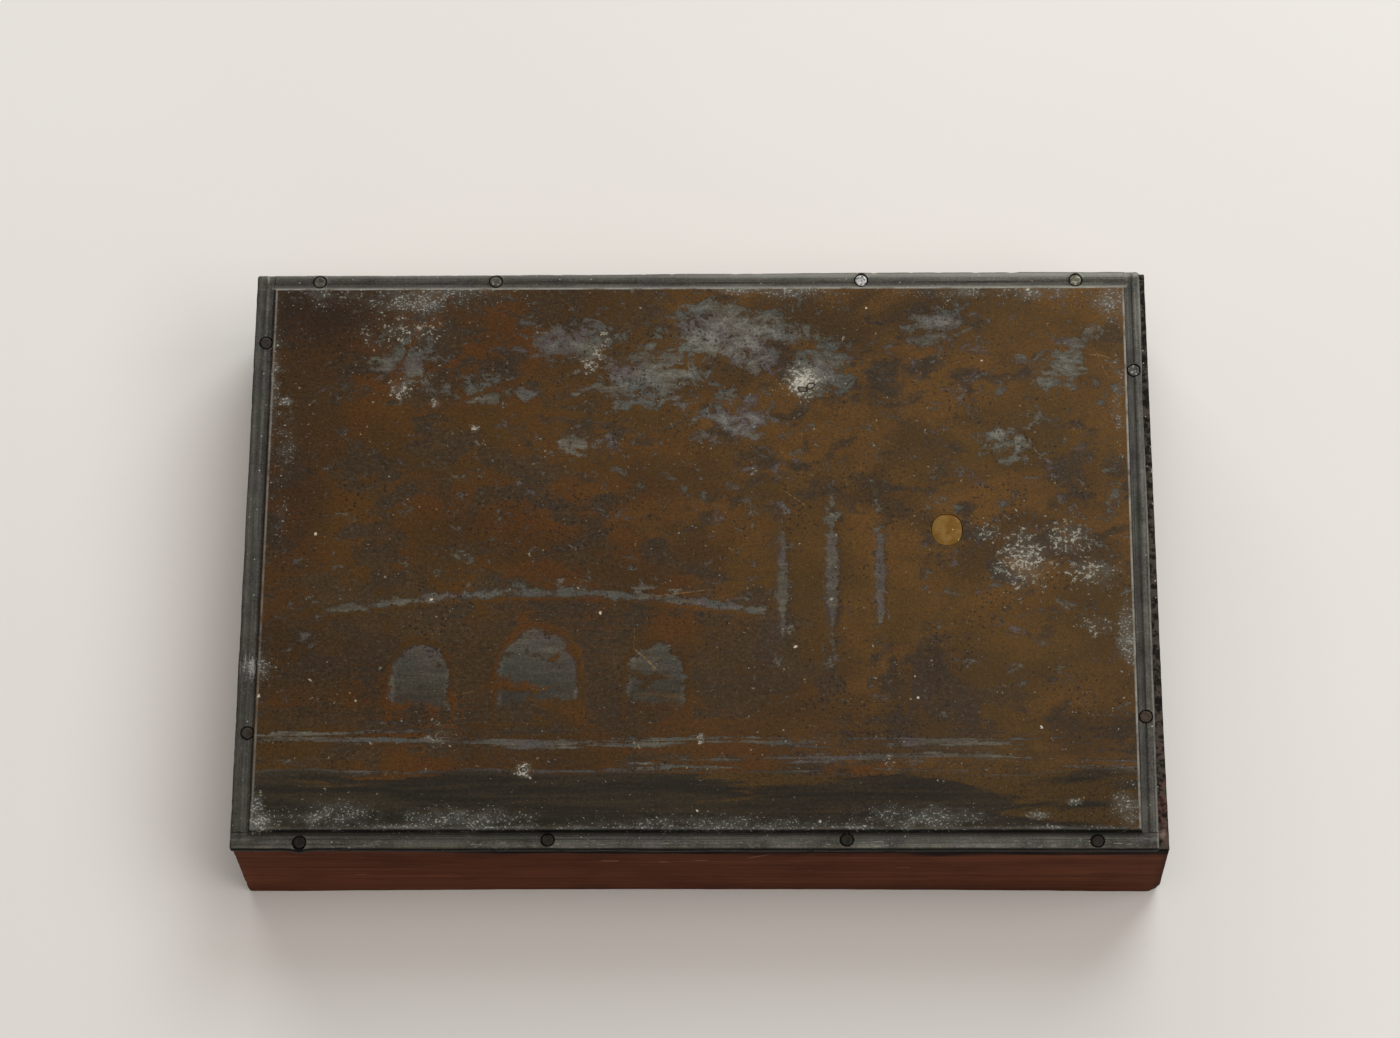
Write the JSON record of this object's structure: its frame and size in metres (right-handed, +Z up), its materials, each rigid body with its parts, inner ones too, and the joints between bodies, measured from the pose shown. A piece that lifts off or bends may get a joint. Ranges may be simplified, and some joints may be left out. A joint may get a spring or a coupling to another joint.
{
  "type": "etched printing plate",
  "caption": "Etched picture plate with a bevelled flange, nailed to a wood block that brings its printing face to type height and gives it a flat base for the press bed.",
  "frame": {"origin": "on the press bed (z 0), under the middle of the whole block's length and depth", "axes": "+Z up out of the printing face, +X along the long side to the right as the picture is seen upright, +Y to the top edge of the picture"},
  "size_m": [0.1412, 0.0952, 0.0233],
  "materials": {
    "block_wood": "red-brown close-grained block wood, worn and ink-stained, black with old ink along its bare top strip",
    "plate_metal": "etched plate, copper-brown on the raised printing face, dull blue-grey where it is etched and on the flange, with pale corrosion bloom",
    "nail_steel": "flat nail heads, dark with age and ink, rubbed bright on some",
    "rivet_brass": "dull yellow-brown metal, hammered and dressed flush"
  },
  "bodies": {
    "root": {"wood_block": "block_wood", "etched_plate": "plate_metal", "anchor_rivet": "rivet_brass", "nail_back_1": "nail_steel", "nail_back_2": "nail_steel", "nail_back_3": "nail_steel", "nail_back_4": "nail_steel", "nail_front_1": "nail_steel", "nail_front_2": "nail_steel", "nail_front_3": "nail_steel", "nail_front_4": "nail_steel", "nail_left_1": "nail_steel", "nail_left_2": "nail_steel", "nail_right_1": "nail_steel", "nail_right_2": "nail_steel"}
  },
  "joints": []
}
